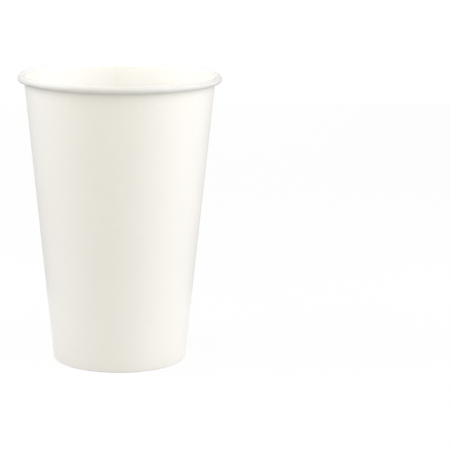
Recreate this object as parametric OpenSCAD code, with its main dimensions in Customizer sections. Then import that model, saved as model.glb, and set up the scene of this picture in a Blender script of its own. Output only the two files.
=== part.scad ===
// Tall paper cup made of two pieces of coated board. The side wall is a fan-shaped blank, wrapped
// to a cone and lapped down one side, with its top edge rolled outwards and its bottom edge
// folded inwards and up as a hem. The base disc has its edge turned down as a skirt, which the
// hem holds against the wall. Millimetres, +Z up, origin on the table under the cup's axis.

/* [Cup] */
// Diameter across the rolled rim
rim_d = 90; // [74:0.5:100]
// Height from the table to the top of the rim
cup_h = 128; // [70:1:180]
// Diameter of the wall at the foot
foot_d = 59.5; // [50:0.5:70]

/* [Board] */
// Thickness of the side wall's board
wall_t = 0.4; // [0.25:0.05:0.5]
// Thickness of the base disc's board
base_t = 0.4; // [0.25:0.05:0.6]
// Room for the seal on each face of the base's skirt
seal_gap = 0.05; // [0.02:0.01:0.12]

/* [Rim] */
// Diameter of the roll along the rim
roll_d = 3.2; // [2.6:0.1:4.5]
// Turn of the roll from the wall over the top and back, in degrees
roll_turn = 385; // [240:5:390]
// Gap between the turns of the roll
roll_gap = 0.1; // [0.05:0.01:0.3]

/* [Side seam] */
// Direction of the seam's inner cut edge, in degrees from +X
seam_at = 93; // [0:1:359]
// Overlap of the two cut edges, measured round the rim
seam_lap = 7; // [3:0.5:15]
// Angle over which the outer layer climbs on to the inner one, in degrees
seam_climb = 12; // [6:1:30]

/* [Foot] */
// Height of the hem's top edge above the table
hem_h = 7; // [4:0.5:7.5]
// Height of the base disc's underside above the table
base_rise = 9; // [8.5:0.5:16]
// Room under the skirt's cut edge, in the fold
skirt_gap = 0.5; // [0.1:0.1:3]
// Outer radius of the bend between the base disc and its skirt
bend_r = 1.2; // [0.8:0.1:2.5]
// Width of the flat pressed on the foot's fold
foot_land = 0.7; // [0.3:0.05:0.75]
// Number of crimp grooves round the hem
crimps = 72; // [24:1:96]
// Radius of a crimp groove
crimp_r = 0.5; // [0.3:0.05:0.8]
// Depth of a crimp groove in the hem's face
crimp_depth = 0.12; // [0.05:0.01:0.2]

/* [Hidden] */
$fn = 180;
arc_step = 10; // largest turn between two points of a bend, in degrees

// The fold wraps the base's skirt, so its radius is half of the stack that it holds
fold_r = wall_t + seal_gap + base_t / 2;
fold_at = [foot_d / 2 - fold_r, sqrt(pow(fold_r, 2) - pow(foot_land / 2, 2))];
roll_r = roll_d / 2;
roll_at = [rim_d / 2 - roll_r, cup_h - roll_r];

// Lean of the wall: its outer face touches the fold from outside and the roll's bore from inside
span = roll_at - fold_at;
lean = atan2(span[0], span[1]) - asin((roll_r - wall_t + fold_r) / norm(span));
out = [cos(lean), -sin(lean)]; // square to the wall, away from the cup's axis
up = [sin(lean), cos(lean)]; // along the wall

// The roll's second half turn is tighter, so that its tail passes inside the first
tail_r = roll_r - (wall_t + roll_gap) / 2;
tail_at = roll_at + (roll_r - tail_r) * out;

hem_length = (hem_h - fold_at[1] - fold_r * sin(lean)) / cos(lean);
lap = seam_lap / (PI * rim_d) * 360;
climb_shift = wall_t / sin(seam_climb);
climb_from = -1.5 * seam_climb; // direction clear of the climb, where its cuts and layers start
bite = wall_t / 2; // depth at which an added layer of board joins the wall's own
crimp_from = 2 * fold_r; // distance along the hem from the fold's centre to the grooves

board = [0.96, 0.95, 0.92];

// Points of a bend round a centre; first = 1 leaves out the point that the path already has
function arc(at, r, from, to, first = 0) =
    let (steps = ceil(abs(to - from) / arc_step), turn = (to - from) / steps)
    [for (i = [first:steps]) at + r * [cos(from + i * turn), sin(from + i * turn)]];

function reversed(points) = [for (i = [len(points) - 1:-1:0]) points[i]];

// One face of the side wall's board from the roll's tail down to the hem's edge: depth is 0 on
// the face that lines the cup, and the board's thickness on the other
function wall_face(depth) = concat(
    arc(tail_at, tail_r - depth, 180 - lean - roll_turn, -lean),
    arc(roll_at, roll_r - depth, -lean, 180 - lean, 1),
    arc(fold_at, fold_r - wall_t + depth, -lean, -180 - lean),
    [fold_at - (fold_r - wall_t + depth) * out + hem_length * up]
);

// One face of the base's board from the axis to the skirt's edge
function base_face(depth) =
    let (
        skirt_at = fold_at + (base_t / 2) * out,
        rise = (base_rise + base_t - bend_r - skirt_at[1] - bend_r * sin(lean)) / cos(lean),
        bend_at = skirt_at + rise * up - bend_r * out
    )
    concat(
        [[0, base_rise + base_t - depth]],
        arc(bend_at, bend_r - depth, 90, -lean),
        [skirt_at - depth * out + skirt_gap * up]
    );

// Radius of the wall at a height, at a depth below its outer face
function wall_r(z, depth) =
    fold_at[0] + (fold_r - depth) / cos(lean) + (z - fold_at[1]) * tan(lean);

// Section of a layer that follows the wall between two depths and two heights
module layer_section(depth_1, depth_2, low, high) {
    polygon([
        [wall_r(low, depth_1), low],
        [wall_r(low, depth_2), low],
        [wall_r(high, depth_2), high],
        [wall_r(high, depth_1), high]
    ]);
}

// Turns a section from one direction to another
module wrap(from, to) {
    rotate(from)
        rotate_extrude(angle = to - from)
            children();
}

// Cone beside the cup's own: it leaves the wall's face where the climb starts, and stands a
// board's thickness outside it at the inner cut edge
module climb_cone(depth) {
    away = 90 - seam_climb;
    translate(climb_shift * [cos(away), sin(away), 0])
        cylinder(
            h = cup_h,
            r1 = norm([wall_r(0, depth), climb_shift]),
            r2 = norm([wall_r(cup_h, depth), climb_shift])
        );
}

// The wall with its roll and hem, as one plain turn that starts opposite the seam
module plain_wall() {
    rotate(180)
        rotate_extrude()
            intersection() {
                polygon(concat(wall_face(0), reversed(wall_face(wall_t))));
                square([rim_d, cup_h]);
            }
}

// Outer layer of the lap: it climbs on to the wall, and ends at the outer cut edge
module lap_layer() {
    intersection() {
        wrap(climb_from, lap)
            layer_section(-wall_t, bite, 0, roll_at[1]);
        climb_cone(0);
    }
}

// Second layer of the hem along the lap: its wider fold takes up more board, so it ends lower
module lap_hem() {
    length = hem_length - PI * wall_t;
    wrap(0, lap)
        intersection() {
            polygon(concat(
                arc(fold_at, fold_r + wall_t, -90, -180 - lean),
                [
                    fold_at - (fold_r + wall_t) * out + length * up,
                    fold_at - (fold_r - bite) * out + length * up
                ],
                arc(fold_at, fold_r - bite, -180 - lean, -90)
            ));
            square([rim_d, cup_h]);
        }
}

// Room inside the climbing layer, up to the inner cut edge
module climb_pocket() {
    intersection() {
        wrap(climb_from, 0)
            layer_section(-wall_t, wall_t + seal_gap / 2, 2 * fold_r, cup_h);
        climb_cone(wall_t);
    }
}

// Grooves that the crimping wheel presses in the hem, on its second layer where the lap has one
module crimp_grooves() {
    for (i = [0:crimps - 1]) {
        turn = (i + 0.5) * 360 / crimps;
        face = turn < lap ? fold_r + wall_t : fold_r;
        start = fold_at - (face - crimp_depth + crimp_r) * out + crimp_from * up;
        rotate(turn)
            translate([start[0], 0, start[1]])
                rotate([0, lean, 0])
                    cylinder(r = crimp_r, h = hem_length);
    }
}

module side_wall() {
    color(board)
        rotate(seam_at)
            difference() {
                union() {
                    plain_wall();
                    lap_layer();
                    lap_hem();
                }
                climb_pocket();
                crimp_grooves();
            }
}

module base_disc() {
    color(board)
        rotate_extrude()
            polygon(concat(base_face(0), reversed(base_face(base_t))));
}

side_wall();
base_disc();
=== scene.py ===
"""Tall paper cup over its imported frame: a wrapped side wall with a rolled rim and a hemmed foot, and
a base disc with a turned skirt, both of coated board, in a plain pale studio. Metres, +Z up."""

import math

import bmesh
import bpy
from bpy.props import FloatProperty, FloatVectorProperty, IntProperty, PointerProperty
from mathutils import Matrix, Vector


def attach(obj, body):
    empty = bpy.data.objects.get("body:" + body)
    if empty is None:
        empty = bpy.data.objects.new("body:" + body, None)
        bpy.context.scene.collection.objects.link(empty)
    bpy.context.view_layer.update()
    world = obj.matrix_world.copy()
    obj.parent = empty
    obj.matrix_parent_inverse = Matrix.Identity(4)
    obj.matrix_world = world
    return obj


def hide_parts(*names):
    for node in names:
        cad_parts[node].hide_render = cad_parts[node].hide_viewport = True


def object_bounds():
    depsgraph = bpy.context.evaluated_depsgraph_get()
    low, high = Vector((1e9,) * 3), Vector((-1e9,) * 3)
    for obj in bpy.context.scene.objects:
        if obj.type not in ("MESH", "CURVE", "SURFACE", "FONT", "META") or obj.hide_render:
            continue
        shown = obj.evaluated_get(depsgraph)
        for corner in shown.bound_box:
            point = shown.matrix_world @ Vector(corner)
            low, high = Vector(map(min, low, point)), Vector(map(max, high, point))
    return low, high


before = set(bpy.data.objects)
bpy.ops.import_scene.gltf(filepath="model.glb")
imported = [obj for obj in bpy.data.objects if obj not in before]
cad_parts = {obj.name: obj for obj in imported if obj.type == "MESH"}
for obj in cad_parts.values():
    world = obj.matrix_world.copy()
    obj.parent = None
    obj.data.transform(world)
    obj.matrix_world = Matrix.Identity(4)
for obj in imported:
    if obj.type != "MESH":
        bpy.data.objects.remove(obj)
CAD_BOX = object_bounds()

bl_info = {
    "name": "Paper Coffee Cup",
    "version": (1, 0, 0),
    "blender": (4, 5, 0),
    "location": "3D Viewport > Sidebar > Paper Cup",
    "description": "Wraps the cup's side wall, sets its base disc and lays out the studio",
    "category": "Add Mesh",
}

MM = 0.001
AXIS = Vector((0, 0, 1))
CENTRE = Vector((0, 0, 0))
CREST_ROOM = 0.004 * MM  # keeps the roll's crest inside the box of the solids

# Mesh of the pieces
COLUMNS_PER_CRIMP = 6  # columns of the wrapped mesh from one crimp groove to the next
BEND_STEP = math.radians(11)  # largest turn between two points of a bend
STEP_SLACK = 0.01  # part of a step that a bend may be over without taking one more
WALL_ROWS = 20  # rows of the wall between the roll and the fold
HEM_ROWS = 3
BASE_RINGS = 10
BASE_COLUMNS = 216
MERGE_REACH = 0.002 * MM  # joins what a full turn leaves on the axis and where it closes
SMOOTH_TURN = math.radians(40)  # sharper edges than this stay sharp
COLUMN_REACH = 0.45  # how far off a column its points may lie, in steps between columns
GROOVE_REACH = 0.4  # the same, for the columns of a crimp groove
GROOVE_SHARES = ((0, 1.0), (1, 0.55))  # columns off a groove's middle, share of the depth there
HEM_REACH = 1.1  # height below which a point may be the hem's, as a share of the hem's height
TRIM_DEPTH = 0.8  # depth below the roll's face at which the trimmed tail starts, in boards

# Surface of the board
CLOUD_SIZE = 3 * MM
FIBRE_SIZE = 0.3 * MM
CROSS_FIBRE_SIZE = 0.35 * MM
ALONG_SHARE = 0.6  # of the fibres that lie along the axis; the rest cross them
GRAIN_SIZE = 0.12 * MM
SAG_SIZE = 16 * MM
UPRIGHT = (1, 1, 0.2)  # draws a noise out along the cup's axis
LEVEL = (0.3, 0.3, 1)  # draws a noise out round the cup
FIBRE_SHARE = 0.7  # of the tooth; the grain has the rest
RELIEF = 0.02 * MM  # height of the surface's relief
SAG_RELIEF = 3  # height of its slow waves, in the same unit as the tooth
CLOUD_TONE = 0.035
FIBRE_TONE = 0.05
CLOUD_ROUGHNESS = 0.08
ROLL_PAINTED_SHADE = 0.2  # painted shade: how much darker the board's colour is painted over the roll's outer half
ROLL_ROUGHNESS = 0.15
COAT_ROUGHNESS = 0.3
BOARD_IOR = 1.5

# Side and height of each softbox in degrees, its distance in metres, its power in watts and its tint
SOFTBOXES = {
    "right_low_softbox": (85, 10, 0.7, 1.91, (0.955, 0.96, 0.99)),
    "right_high_softbox": (85, 30, 0.7, 1.15, (0.96, 0.97, 0.98)),
    "front_right_softbox": (50, 40, 1.0, 3.1, (0.91, 0.91, 0.98)),
    "left_softbox": (-90, 32, 0.5, 1.45, (0.9, 0.925, 0.99)),
    "front_left_softbox": (-50, 40, 1.0, 1.9, (1.0, 0.93, 0.84)),
    "front_softbox": (0, 24, 1.0, 2.36, (1.0, 0.98, 0.78)),
    "back_left_softbox": (-140, 24, 1.0, 1.0, (1.0, 1.0, 1.0)),
    "back_softbox": (180, 24, 1.0, 2.8, (1.0, 0.99, 0.96)),
}
LAMP_AIM = Vector((0, 0, 0.07))
LAMP_SPREAD = 0.7  # side of a softbox, as a share of its distance
SENSOR_WIDTH = 36  # millimetres, as the lens
WHITE = (1, 1, 1, 1)
FLOOR_SIZE = 1.7
FLOOR_COLOUR = (0.6, 0.6, 0.6, 1.0)  # of the floor that throws light back at the cup
FLOOR_SEEN = (0.8, 0.8, 0.8, 1.0)  # of the floor that the camera sees
FLOOR_WHITE = 0.9  # share of plain white in what the camera sees of it; the rest takes shadow
BAND_RADIUS = 0.12
BAND_HEIGHT = 0.18
BAND_SIDES = 96
BAND_COLOUR = (0.15, 0.15, 0.15, 1.0)


def length(name, description, default):
    """A size in metres, shown in the scene's own unit."""
    return FloatProperty(name=name, description=description, default=default, unit="LENGTH", precision=5)


def turn(name, description, default):
    """An angle, given in degrees and kept in radians."""
    return FloatProperty(
        name=name, description=description, default=math.radians(default), unit="ROTATION"
    )


def colour(name, description, default):
    """A colour in linear light."""
    return FloatVectorProperty(
        name=name, description=description, default=default, size=3, min=0.0, max=1.0, subtype="COLOR"
    )


class CupSizes(bpy.types.PropertyGroup):
    """Sizes of the cup and of its board."""

    rim_diameter: length("Rim diameter", "Across the rolled rim", CAD_BOX[1].x - CAD_BOX[0].x)
    cup_height: length("Cup height", "From the table to the top of the rim", CAD_BOX[1].z - CREST_ROOM)
    foot_diameter: length("Foot diameter", "Across the wall at the foot", 59.5 * MM)
    wall_board: length("Wall board", "Thickness of the side wall's board", 0.4 * MM)
    base_board: length("Base board", "Thickness of the base disc's board", 0.4 * MM)
    seal_gap: length("Seal", "Room for the seal on each face of the base's skirt", 0.05 * MM)
    roll_diameter: length("Roll diameter", "Across the roll along the rim", 3.2 * MM)
    roll_gap: length("Roll gap", "Gap between the turns of the roll", 0.1 * MM)
    roll_turn: turn("Roll turn", "Turn of the roll from the wall over the top and back", 385)
    seam_direction: turn("Seam direction", "Direction of the seam's inner cut edge", 93)
    seam_lap: length("Seam lap", "Overlap of the cut edges, measured round the rim", 7 * MM)
    seam_climb: turn("Seam climb", "Turn over which the outer layer climbs on to the inner one", 12)
    seam_glue: length("Seam glue", "Room between the two layers of the lap", 0.02 * MM)
    lap_trim: turn("Lap trim", "Turn cut off the inner layer's roll so that the lap can roll", 75)
    hem_height: length("Hem height", "Height of the hem's top edge above the table", 7 * MM)
    base_rise: length("Base rise", "Height of the base disc's underside", 9 * MM)
    skirt_gap: length("Skirt gap", "Room under the skirt's cut edge, in the fold", 0.5 * MM)
    bend_radius: length("Bend radius", "Outer radius of the base's bend", 1.2 * MM)
    foot_land: length("Foot land", "Width of the flat pressed on the foot's fold", 0.7 * MM)
    crimps: IntProperty(name="Crimps", description="Grooves round the hem", default=72, min=12)
    crimp_depth: length("Crimp depth", "Depth of a crimp groove", 0.12 * MM)


class CupFinish(bpy.types.PropertyGroup):
    """Colours of the coated board."""

    outside: colour("Outside", "Board on the cup's outside", (0.83, 0.81, 0.765))
    # partly the coated face's own whiter colour, partly painted light: it is set lighter than the
    # outside so that the cup's inside comes out brighter
    lining: colour("Lining", "Coated board on the cup's inside", (0.902, 0.888, 0.853))
    cut_edge: colour("Cut edge", "Bare fibres where the board is cut", (0.68, 0.63, 0.54))


class CupStudio(bpy.types.PropertyGroup):
    """Camera and light of the studio."""

    camera_place: FloatVectorProperty(
        name="Camera place", description="Where the camera stands", default=(0, -0.8, 0.22423),
        size=3, unit="LENGTH",
    )
    camera_turn: turn("Camera turn", "Turn of the view towards +X", 3.3787)
    camera_dip: turn("Camera dip", "Dip of the view below the horizon", 11.5644)
    camera_roll: turn("Camera roll", "Roll of the picture about the view", 0.7676)
    lens: FloatProperty(name="Lens", description="Focal length in millimetres", default=145.506)
    ambient: FloatProperty(name="Ambient", description="Strength of the light all round", default=0.36)


class Number:
    """A shader socket that holds a number and takes part in Python expressions."""

    def __init__(self, finish, socket):
        self.finish = finish
        self.socket = socket

    def maths(self, operation, first, second):
        """The result of a sum of two numbers, either of which may be a plain one."""
        return self.finish.number("ShaderNodeMath", {0: first, 1: second}, operation=operation)

    def __add__(self, other):
        return self.maths("ADD", self, other)

    __radd__ = __add__

    def __sub__(self, other):
        return self.maths("SUBTRACT", self, other)

    def __mul__(self, other):
        return self.maths("MULTIPLY", self, other)

    def __gt__(self, other):
        return self.maths("GREATER_THAN", self, other)


class Finish:
    """A node tree, and the one method that makes its nodes."""

    def __init__(self, owner):
        owner.use_nodes = True
        self.tree = owner.node_tree
        self.tree.nodes.clear()

    def node(self, kind, inputs=None, output=0, **settings):
        """Makes a node: settings first, then the values or links of its sockets."""
        made = self.tree.nodes.new(kind)
        for name, value in settings.items():
            setattr(made, name, value)
        for key, value in (inputs or {}).items():
            socket = made.inputs[key]
            if isinstance(value, Number):
                value = value.socket
            if isinstance(value, bpy.types.NodeSocket):
                self.tree.links.new(value, socket)
            else:
                socket.default_value = value
        return made.outputs[output] if made.outputs else None

    def number(self, kind, inputs=None, output=0, **settings):
        """Makes a node whose output is a number."""
        return Number(self, self.node(kind, inputs, output, **settings))

    def noise(self, place, size, detail=2.0, roughness=0.5):
        """Noise from 0 to 1 whose features are about that size, in metres."""
        return self.number(
            "ShaderNodeTexNoise",
            {"Vector": place, "Scale": 1 / size, "Detail": detail, "Roughness": roughness},
            output="Fac",
        )

    def tinted(self, shade, amount):
        """A colour made lighter or darker by a number near 1."""
        return self.node("ShaderNodeVectorMath", {0: shade, 3: amount}, operation="SCALE")


def board_finish(name, shade, roughness, tooth, coat=0.0, roll=None):
    """Coated board: cloudy formation, fine fibres and the tooth of its surface. Where a roll's radii are
    given, the board over the roll is rougher, and its colour there is painted darker as painted shade."""
    made = bpy.data.materials.new(name)
    finish = Finish(made)
    place = finish.node("ShaderNodeTexCoord", output="Object")
    upright = finish.node("ShaderNodeMapping", {"Vector": place, "Scale": UPRIGHT})
    level = finish.node("ShaderNodeMapping", {"Vector": place, "Scale": LEVEL})
    cloud = finish.noise(place, CLOUD_SIZE, detail=4, roughness=0.6)
    along = finish.noise(upright, FIBRE_SIZE, detail=3, roughness=0.6)
    across = finish.noise(level, CROSS_FIBRE_SIZE)
    fibre = along * ALONG_SHARE + across * (1 - ALONG_SHARE)
    grain = finish.noise(place, GRAIN_SIZE)
    sag = finish.noise(place, SAG_SIZE, detail=1)
    tone = 1 + (cloud - 0.5) * CLOUD_TONE + (fibre - 0.5) * FIBRE_TONE
    dull = 0.0
    if roll:
        flat = finish.node("ShaderNodeVectorMath", {0: place, 1: (1, 1, 0)}, operation="MULTIPLY")
        radius = finish.number("ShaderNodeVectorMath", {0: flat}, output="Value", operation="LENGTH")
        roll_shade_and_dull = finish.number(
            "ShaderNodeMapRange",
            {"Value": radius, "From Min": roll[0], "From Max": roll[1]},
            interpolation_type="SMOOTHSTEP",
        )
        # painted shade: the colour is darkened over the roll's outer half
        tone = tone - roll_shade_and_dull * ROLL_PAINTED_SHADE
        dull = roll_shade_and_dull * ROLL_ROUGHNESS
    weave = fibre * FIBRE_SHARE + grain * (1 - FIBRE_SHARE)
    surface = weave * tooth + sag * SAG_RELIEF
    bump = finish.node("ShaderNodeBump", {"Height": surface, "Strength": 1.0, "Distance": RELIEF})
    shader = finish.node(
        "ShaderNodeBsdfPrincipled",
        {
            "Base Color": finish.tinted(tuple(shade), tone),
            "Roughness": roughness + (cloud - 0.5) * CLOUD_ROUGHNESS + dull,
            "Normal": bump,
            "IOR": BOARD_IOR,
            "Coat Weight": coat,
            "Coat Roughness": COAT_ROUGHNESS,
        },
    )
    finish.node("ShaderNodeOutputMaterial", {"Surface": shader})
    return made


def choose(piece, wanted, kind="verts"):
    """Selects what passes the test in edit mode, and nothing else."""
    bpy.ops.mesh.select_mode(type="VERT" if kind == "verts" else "FACE")
    bpy.ops.mesh.select_all(action="DESELECT")
    mesh = bmesh.from_edit_mesh(piece.data)
    for part in getattr(mesh, kind):
        if wanted(part):
            part.select_set(True)
    mesh.select_flush_mode()
    bmesh.update_edit_mesh(piece.data)


def start_point(name, place):
    """A new piece in edit mode that holds one selected vertex, from which a section is drawn."""
    bpy.ops.object.select_all(action="DESELECT")
    bpy.ops.mesh.primitive_plane_add(size=MM, location=place)
    piece = bpy.context.object
    piece.name = piece.data.name = name
    bpy.ops.object.transform_apply(location=True)
    bpy.ops.object.mode_set(mode="EDIT")
    bpy.ops.mesh.select_all(action="SELECT")
    bpy.ops.mesh.merge(type="CENTER")
    return piece


def bend(centre, turned):
    """Carries the selected point round a centre of the section, anticlockwise where positive."""
    steps = math.ceil(abs(turned) / BEND_STEP - STEP_SLACK)
    bpy.ops.mesh.spin(steps=steps, angle=turned, center=centre, axis=(0, 1, 0))


def draw_to(step, rows=1):
    """Carries the selected point along a straight stretch, in as many rows."""
    for _ in range(rows):
        bpy.ops.mesh.extrude_region_move(TRANSFORM_OT_translate={"value": step / rows})


def wrap(steps, turned):
    """Carries the selected section round the cup's axis, anticlockwise seen from above."""
    bpy.ops.mesh.spin(steps=steps, angle=turned, center=CENTRE, axis=-AXIS)


def thicken(piece, thickness, materials):
    """Gives a sheet its board, with one finish on its outer face, one on its inner face and one on
    its cut edges."""
    for material in materials:
        piece.data.materials.append(material)
    board = piece.modifiers.new("Board", "SOLIDIFY")
    board.thickness = thickness
    board.offset = 0
    board.use_even_offset = True
    board.use_rim = True
    board.material_offset = 1
    board.material_offset_rim = 2
    bpy.ops.object.modifier_apply(modifier=board.name)


def finish_piece(piece, node):
    """Smooths the piece and lets it stand for its CAD node."""
    bpy.ops.object.shade_smooth_by_angle(angle=SMOOTH_TURN)
    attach(piece, "root")
    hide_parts(node)


class Section:
    """Places of the cup's section in the plane of X and Z, worked out from its sizes."""

    def __init__(self, sizes):
        fold_r = sizes.wall_board + sizes.seal_gap + sizes.base_board / 2
        roll_r = sizes.roll_diameter / 2
        land = sizes.foot_land / 2
        self.fold_r = fold_r
        self.roll_r = roll_r
        self.fold = Vector((sizes.foot_diameter / 2 - fold_r, 0, math.sqrt(fold_r**2 - land**2)))
        self.roll = Vector((sizes.rim_diameter / 2 - roll_r, 0, sizes.cup_height - roll_r))
        span = self.roll - self.fold
        self.lean = math.atan2(span.x, span.z) - math.asin(
            (roll_r - sizes.wall_board + fold_r) / span.length
        )
        self.out = Vector((math.cos(self.lean), 0, -math.sin(self.lean)))
        self.up = Vector((math.sin(self.lean), 0, math.cos(self.lean)))
        self.tail_r = roll_r - (sizes.wall_board + sizes.roll_gap) / 2
        self.tail = self.roll + (roll_r - self.tail_r) * self.out
        self.hem_top = sizes.hem_height
        self.hem_length = (
            sizes.hem_height - self.fold.z - fold_r * math.sin(self.lean)
        ) / math.cos(self.lean)

    def point(self, centre, radius, angle):
        """The place at an angle of a bend, counted from +X towards +Z."""
        return centre + radius * Vector((math.cos(angle), 0, math.sin(angle)))

    def below_hem_top(self, place):
        """True up to a little above the hem's top edge."""
        return place.z < self.hem_top * HEM_REACH

    def arm(self, place, centre):
        """From a centre of the section to a place, turned into the section's plane: how far out
        across the board, and how far up along it."""
        away = Vector((place.xy.length, 0, place.z)) - centre
        return away.dot(self.out), away.dot(self.up)


def direction(place):
    """Direction of a place round the cup's axis, from -180 to 180 degrees in radians."""
    return math.atan2(place.y, place.x)


class Seam:
    """Columns and layers of the lapped seam, in directions counted from the inner cut edge."""

    def __init__(self, sizes):
        self.columns = sizes.crimps * COLUMNS_PER_CRIMP
        self.step = 2 * math.pi / self.columns
        self.climb = sizes.seam_climb
        self.climb_columns = math.ceil(self.climb / self.step)
        self.lap = sizes.seam_lap / (math.pi * sizes.rim_diameter) * 2 * math.pi
        self.lap_columns = math.ceil(self.lap / self.step)
        self.whole = sizes.wall_board + sizes.seam_glue

    def lift(self, turned):
        """How far the outer layer stands off the wall's own line in a direction near the seam."""
        share = min(max(1 + turned / self.climb, 0), 1)
        return self.whole * share * share * (3 - 2 * share)

    def near(self, turned):
        """True in the directions of the climb and the lap."""
        return -self.climb < turned < (self.lap_columns - 0.5) * self.step


class CUP_OT_side_wall(bpy.types.Operator):
    """Wraps the side wall's blank, with its rolled rim, lapped seam and crimped hem"""

    bl_idname = "paper_cup.side_wall"
    bl_label = "Wrap Side Wall"

    def execute(self, context):
        sizes = context.scene.cup_sizes
        section = Section(sizes)
        seam = Seam(sizes)
        piece = self.draw_section(sizes, section)
        bpy.ops.mesh.select_all(action="SELECT")
        wrap(seam.lap_columns, seam.lap_columns * seam.step)
        self.trim_lap(piece, sizes, section)
        choose(piece, lambda v: direction(v.co) > (seam.lap_columns - 0.5) * seam.step)
        plain = seam.columns - seam.climb_columns - seam.lap_columns
        wrap(plain, plain * seam.step)
        self.climb(piece, section, seam)
        wrap(seam.lap_columns - 1, (seam.lap_columns - 1) * seam.step)
        wrap(1, seam.lap - (seam.lap_columns - 1) * seam.step)
        bpy.ops.mesh.select_all(action="SELECT")
        bpy.ops.mesh.delete_loose(use_faces=False)
        self.face_outwards(piece, sizes)
        bpy.ops.object.mode_set(mode="OBJECT")
        colours = context.scene.cup_finish
        crest = section.roll.x
        # radii over which the roll's colour is painted darker as painted shade, and its roughness raised
        roll_shade_span = (crest - section.roll_r / 2, crest)
        finishes = (
            board_finish("cup_outside", colours.outside, roughness=0.5, tooth=1.0, coat=0.2),
            board_finish(
                "cup_lining", colours.lining, roughness=0.4, tooth=0.5, coat=0.3, roll=roll_shade_span
            ),
            board_finish("wall_cut_edge", colours.cut_edge, roughness=0.8, tooth=2.0),
        )
        thicken(piece, sizes.wall_board, finishes)
        bpy.ops.object.mode_set(mode="EDIT")
        self.press_foot(piece, section, seam)
        self.crimp(piece, sizes, section, seam)
        bpy.ops.object.mode_set(mode="OBJECT")
        piece.rotation_euler.z = sizes.seam_direction
        bpy.ops.object.transform_apply(rotation=True)
        finish_piece(piece, "side_wall")
        return {"FINISHED"}

    def draw_section(self, sizes, section):
        """Draws the middle of the board from the roll's tail to the hem's end."""
        half = sizes.wall_board / 2
        roll_from = math.pi - section.lean - sizes.roll_turn
        start = section.point(section.tail, section.tail_r - half, roll_from)
        piece = start_point("side_wall_board", start)
        bend(section.tail, -section.lean - roll_from)
        bend(section.roll, math.pi)
        wall_top = section.roll - (section.roll_r - half) * section.out
        wall_foot = section.fold + (section.fold_r - half) * section.out
        draw_to(wall_foot - wall_top, WALL_ROWS)
        bend(section.fold, -math.pi)
        draw_to(section.hem_length * section.up, HEM_ROWS)
        return piece

    def trim_lap(self, piece, sizes, section):
        """Cuts the tail off the inner layer's roll, so that the outer one can roll inside it."""
        far = section.roll_r - sizes.wall_board * TRIM_DEPTH

        def in_tail(face):
            out, up = section.arm(face.calc_center_median(), section.roll)
            turned = math.atan2(up, out) % (2 * math.pi)
            return math.hypot(out, up) < far and turned < math.pi + sizes.lap_trim

        choose(piece, in_tail, "faces")
        bpy.ops.mesh.delete(type="ONLY_FACE")

    def climb(self, piece, section, seam):
        """Lifts each further column a little more, until it clears the layer under the lap. The
        wider fold takes up board there, so the hem ends lower."""
        lifted = 0.0
        for column in range(seam.climb_columns - 1, -1, -1):
            wrap(1, seam.step)
            lift = seam.lift(-column * seam.step)
            bpy.ops.transform.shrink_fatten(value=lift - lifted)
            mesh = bmesh.from_edit_mesh(piece.data)
            hem = [
                v for v in mesh.verts
                if v.select and section.below_hem_top(v.co) and section.arm(v.co, section.fold)[0] < 0
            ]
            end = max(hem, key=lambda v: v.co.z)
            turned = Matrix.Rotation(direction(end.co), 3, "Z")
            end.co -= math.pi * (lift - lifted) * (turned @ section.up)
            bmesh.update_edit_mesh(piece.data)
            lifted = lift

    def face_outwards(self, piece, sizes):
        """Turns the sheet's faces so that the wall's normals point away from the axis."""
        bpy.ops.mesh.select_all(action="SELECT")
        bpy.ops.mesh.normals_make_consistent(inside=False)
        middle = sizes.cup_height / 2
        mesh = bmesh.from_edit_mesh(piece.data)
        face = min(mesh.faces, key=lambda f: abs(f.calc_center_median().z - middle))
        if face.normal.xy.dot(face.calc_center_median().xy) < 0:
            bpy.ops.mesh.flip_normals()

    def press_foot(self, piece, section, seam):
        """Presses the doubled fold under the lap, then the flat land all round."""
        stack = section.fold_r - section.fold.z
        top = section.fold.z
        for column in range(-seam.climb_columns + 1, seam.lap_columns):
            turned = column * seam.step
            lift = seam.lift(turned)
            choose(
                piece,
                lambda v: v.co.z < top and abs(direction(v.co) - turned) < seam.step * COLUMN_REACH,
            )
            squeeze = (top + stack) / (top + stack + lift)
            bpy.ops.transform.resize(value=(1, 1, squeeze), center_override=(0, 0, top))
        choose(piece, lambda v: v.co.z < 0)
        bpy.ops.transform.resize(value=(1, 1, 0), center_override=CENTRE)

    def crimp(self, piece, sizes, section, seam):
        """Presses the crimp grooves in the hem's face that looks at the axis."""
        low = 2 * section.fold_r
        for aside, share in GROOVE_SHARES:

            def in_groove(vertex):
                turned = direction(vertex.co)
                from_groove = (turned / seam.step + COLUMNS_PER_CRIMP / 2) % COLUMNS_PER_CRIMP
                if abs(min(from_groove, COLUMNS_PER_CRIMP - from_groove) - aside) > GROOVE_REACH:
                    return False
                out, up = section.arm(vertex.co, section.fold)
                face = section.fold_r + (seam.lift(turned) if seam.near(turned) else 0)
                inner = -out > face - sizes.wall_board / 2
                return inner and up > low and section.below_hem_top(vertex.co)

            choose(piece, in_groove)
            bpy.ops.transform.shrink_fatten(value=-sizes.crimp_depth * share)


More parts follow.
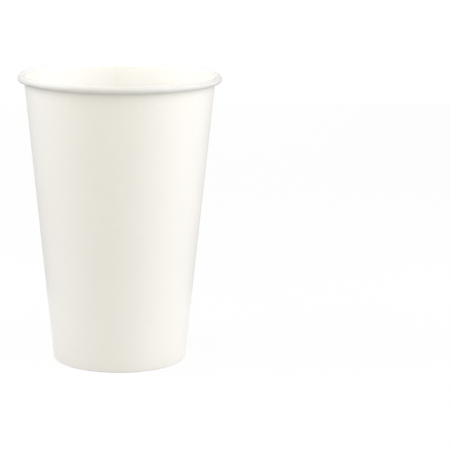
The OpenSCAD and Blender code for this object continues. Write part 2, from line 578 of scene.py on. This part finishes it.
class CUP_OT_base_disc(bpy.types.Operator):
    """Sets up the base disc, with its edge turned down as a skirt"""

    bl_idname = "paper_cup.base_disc"
    bl_label = "Set Base Disc"

    def execute(self, context):
        sizes = context.scene.cup_sizes
        section = Section(sizes)
        half = sizes.base_board / 2
        skirt = section.fold + half * section.out
        top = sizes.base_rise + sizes.base_board
        lean = section.lean
        rise = (top - sizes.bend_radius * (1 + math.sin(lean)) - skirt.z) / math.cos(lean)
        centre = skirt + rise * section.up - sizes.bend_radius * section.out
        piece = start_point("base_disc_board", (0, 0, top - half))
        draw_to(Vector((centre.x, 0, 0)), BASE_RINGS)
        bend(centre, -math.pi / 2 - lean)
        draw_to((sizes.skirt_gap - rise) * section.up, HEM_ROWS)
        bpy.ops.mesh.select_all(action="SELECT")
        wrap(BASE_COLUMNS, 2 * math.pi)
        bpy.ops.mesh.select_all(action="SELECT")
        bpy.ops.mesh.remove_doubles(threshold=MERGE_REACH)
        bpy.ops.mesh.normals_make_consistent(inside=False)
        mesh = bmesh.from_edit_mesh(piece.data)
        if max(mesh.faces, key=lambda f: f.calc_center_median().z).normal.z < 0:
            bpy.ops.mesh.flip_normals()
        bpy.ops.object.mode_set(mode="OBJECT")
        colours = context.scene.cup_finish
        finishes = (
            board_finish("base_lining", colours.lining, roughness=0.4, tooth=0.5),
            board_finish("base_underside", colours.outside, roughness=0.6, tooth=1.0),
            board_finish("base_cut_edge", colours.cut_edge, roughness=0.8, tooth=2.0),
        )
        thicken(piece, sizes.base_board, finishes)
        finish_piece(piece, "base_disc")
        return {"FINISHED"}


class CUP_OT_studio(bpy.types.Operator):
    """Lays out the pale floor, the soft lamps, the white surround and the camera"""

    bl_idname = "paper_cup.studio"
    bl_label = "Lay Out Studio"

    def execute(self, context):
        studio = context.scene.cup_studio
        self.camera(context, studio)
        self.floor()
        self.dark_band()
        self.surround(context, studio)
        for name, placing in SOFTBOXES.items():
            self.softbox(name, *placing)
        context.scene.view_settings.view_transform = "Standard"
        return {"FINISHED"}

    def camera(self, context, studio):
        """A long lens that looks down at the cup from the front."""
        bpy.ops.object.select_all(action="DESELECT")
        bpy.ops.object.camera_add()
        camera = context.object
        camera.name = "photo_camera"
        camera.matrix_world = (
            Matrix.Translation(studio.camera_place)
            @ Matrix.Rotation(-studio.camera_turn, 4, "Z")
            @ Matrix.Rotation(math.pi / 2 - studio.camera_dip, 4, "X")
            @ Matrix.Rotation(studio.camera_roll, 4, "Z")
        )
        camera.data.sensor_width = SENSOR_WIDTH
        camera.data.lens = studio.lens
        context.scene.camera = camera

    def softbox(self, name, side, height, distance, power, tint):
        """A square lamp that looks at the cup. Its side is counted from the front to the right."""
        side, height = math.radians(side), math.radians(height)
        flat = math.cos(height)
        away = Vector((math.sin(side) * flat, -math.cos(side) * flat, math.sin(height)))
        bpy.ops.object.light_add(type="AREA", location=LAMP_AIM + distance * away)
        lamp = bpy.context.object
        lamp.name = name
        lamp.rotation_euler = away.to_track_quat("Z", "Y").to_euler()
        lamp.data.size = LAMP_SPREAD * distance
        lamp.data.energy = power
        lamp.data.color = tint

    def seen(self, finish):
        """1 for what the camera sees, also in a reflection or through glass."""
        paths = ("Is Camera Ray", "Is Glossy Ray", "Is Transmission Ray")
        camera, glossy, through = (finish.number("ShaderNodeLightPath", output=p) for p in paths)
        return (camera + glossy + through) > 0.5

    def floor(self):
        """A wide pale floor, which shows the cup's soft shadow."""
        bpy.ops.mesh.primitive_plane_add(size=FLOOR_SIZE, location=CENTRE)
        floor = bpy.context.object
        floor.name = "floor"
        made = bpy.data.materials.new("floor_paper")
        finish = Finish(made)
        matt = finish.node("ShaderNodeBsdfDiffuse", {"Color": FLOOR_COLOUR})
        pale = finish.node("ShaderNodeBsdfDiffuse", {"Color": FLOOR_SEEN})
        glow = finish.node("ShaderNodeEmission", {"Color": WHITE, "Strength": 1.0})
        white = finish.node("ShaderNodeMixShader", {0: FLOOR_WHITE, 1: pale, 2: glow})
        paper = finish.node("ShaderNodeMixShader", {0: self.seen(finish), 1: matt, 2: white})
        finish.node("ShaderNodeOutputMaterial", {"Surface": paper})
        floor.data.materials.append(made)

    def dark_band(self):
        """A low dark band round the set. Only the board's gloss sees it, and it draws the cup's
        edges there against the white surround."""
        bpy.ops.mesh.primitive_cylinder_add(
            vertices=BAND_SIDES, radius=BAND_RADIUS, depth=BAND_HEIGHT, end_fill_type="NOTHING",
            location=BAND_HEIGHT / 2 * AXIS,
        )
        band = bpy.context.object
        band.name = "dark_band"
        band.visible_camera = band.visible_diffuse = band.visible_shadow = False
        made = bpy.data.materials.new("dark_cloth")
        finish = Finish(made)
        matt = finish.node("ShaderNodeBsdfDiffuse", {"Color": BAND_COLOUR})
        finish.node("ShaderNodeOutputMaterial", {"Surface": matt})
        band.data.materials.append(made)

    def surround(self, context, studio):
        """A white surround that gives the cup a plain level of light."""
        world = context.scene.world or bpy.data.worlds.new("surround")
        context.scene.world = world
        finish = Finish(world)
        light = finish.node("ShaderNodeBackground", {"Color": WHITE, "Strength": studio.ambient})
        white = finish.node("ShaderNodeBackground", {"Color": WHITE, "Strength": 1.0})
        mixed = finish.node("ShaderNodeMixShader", {0: self.seen(finish), 1: light, 2: white})
        finish.node("ShaderNodeOutputWorld", {"Surface": mixed})


class CUP_PT_builder(bpy.types.Panel):
    """Sizes, finishes and steps of the cup"""

    bl_label = "Paper Cup"
    bl_idname = "CUP_PT_builder"
    bl_space_type = "VIEW_3D"
    bl_region_type = "UI"
    bl_category = "Paper Cup"

    def draw(self, context):
        layout = self.layout
        for group in GROUPS:
            box = layout.box()
            settings = getattr(context.scene, group)
            for name in settings.__annotations__:
                box.prop(settings, name)
        for operator in OPERATORS:
            layout.operator(operator.bl_idname)


GROUPS = {"cup_sizes": CupSizes, "cup_finish": CupFinish, "cup_studio": CupStudio}
OPERATORS = (CUP_OT_side_wall, CUP_OT_base_disc, CUP_OT_studio)


def register():
    """Adds the settings, the steps and their panel."""
    for group, made in GROUPS.items():
        bpy.utils.register_class(made)
        setattr(bpy.types.Scene, group, PointerProperty(type=made))
    for made in OPERATORS + (CUP_PT_builder,):
        bpy.utils.register_class(made)


def unregister():
    """Takes the panel, the steps and the settings away again."""
    for made in (CUP_PT_builder,) + OPERATORS:
        bpy.utils.unregister_class(made)
    for group, made in GROUPS.items():
        delattr(bpy.types.Scene, group)
        bpy.utils.unregister_class(made)


def main():
    """Builds the cup and its studio."""
    register()
    bpy.ops.paper_cup.side_wall()
    bpy.ops.paper_cup.base_disc()
    bpy.ops.paper_cup.studio()


if __name__ == "__main__":
    main()
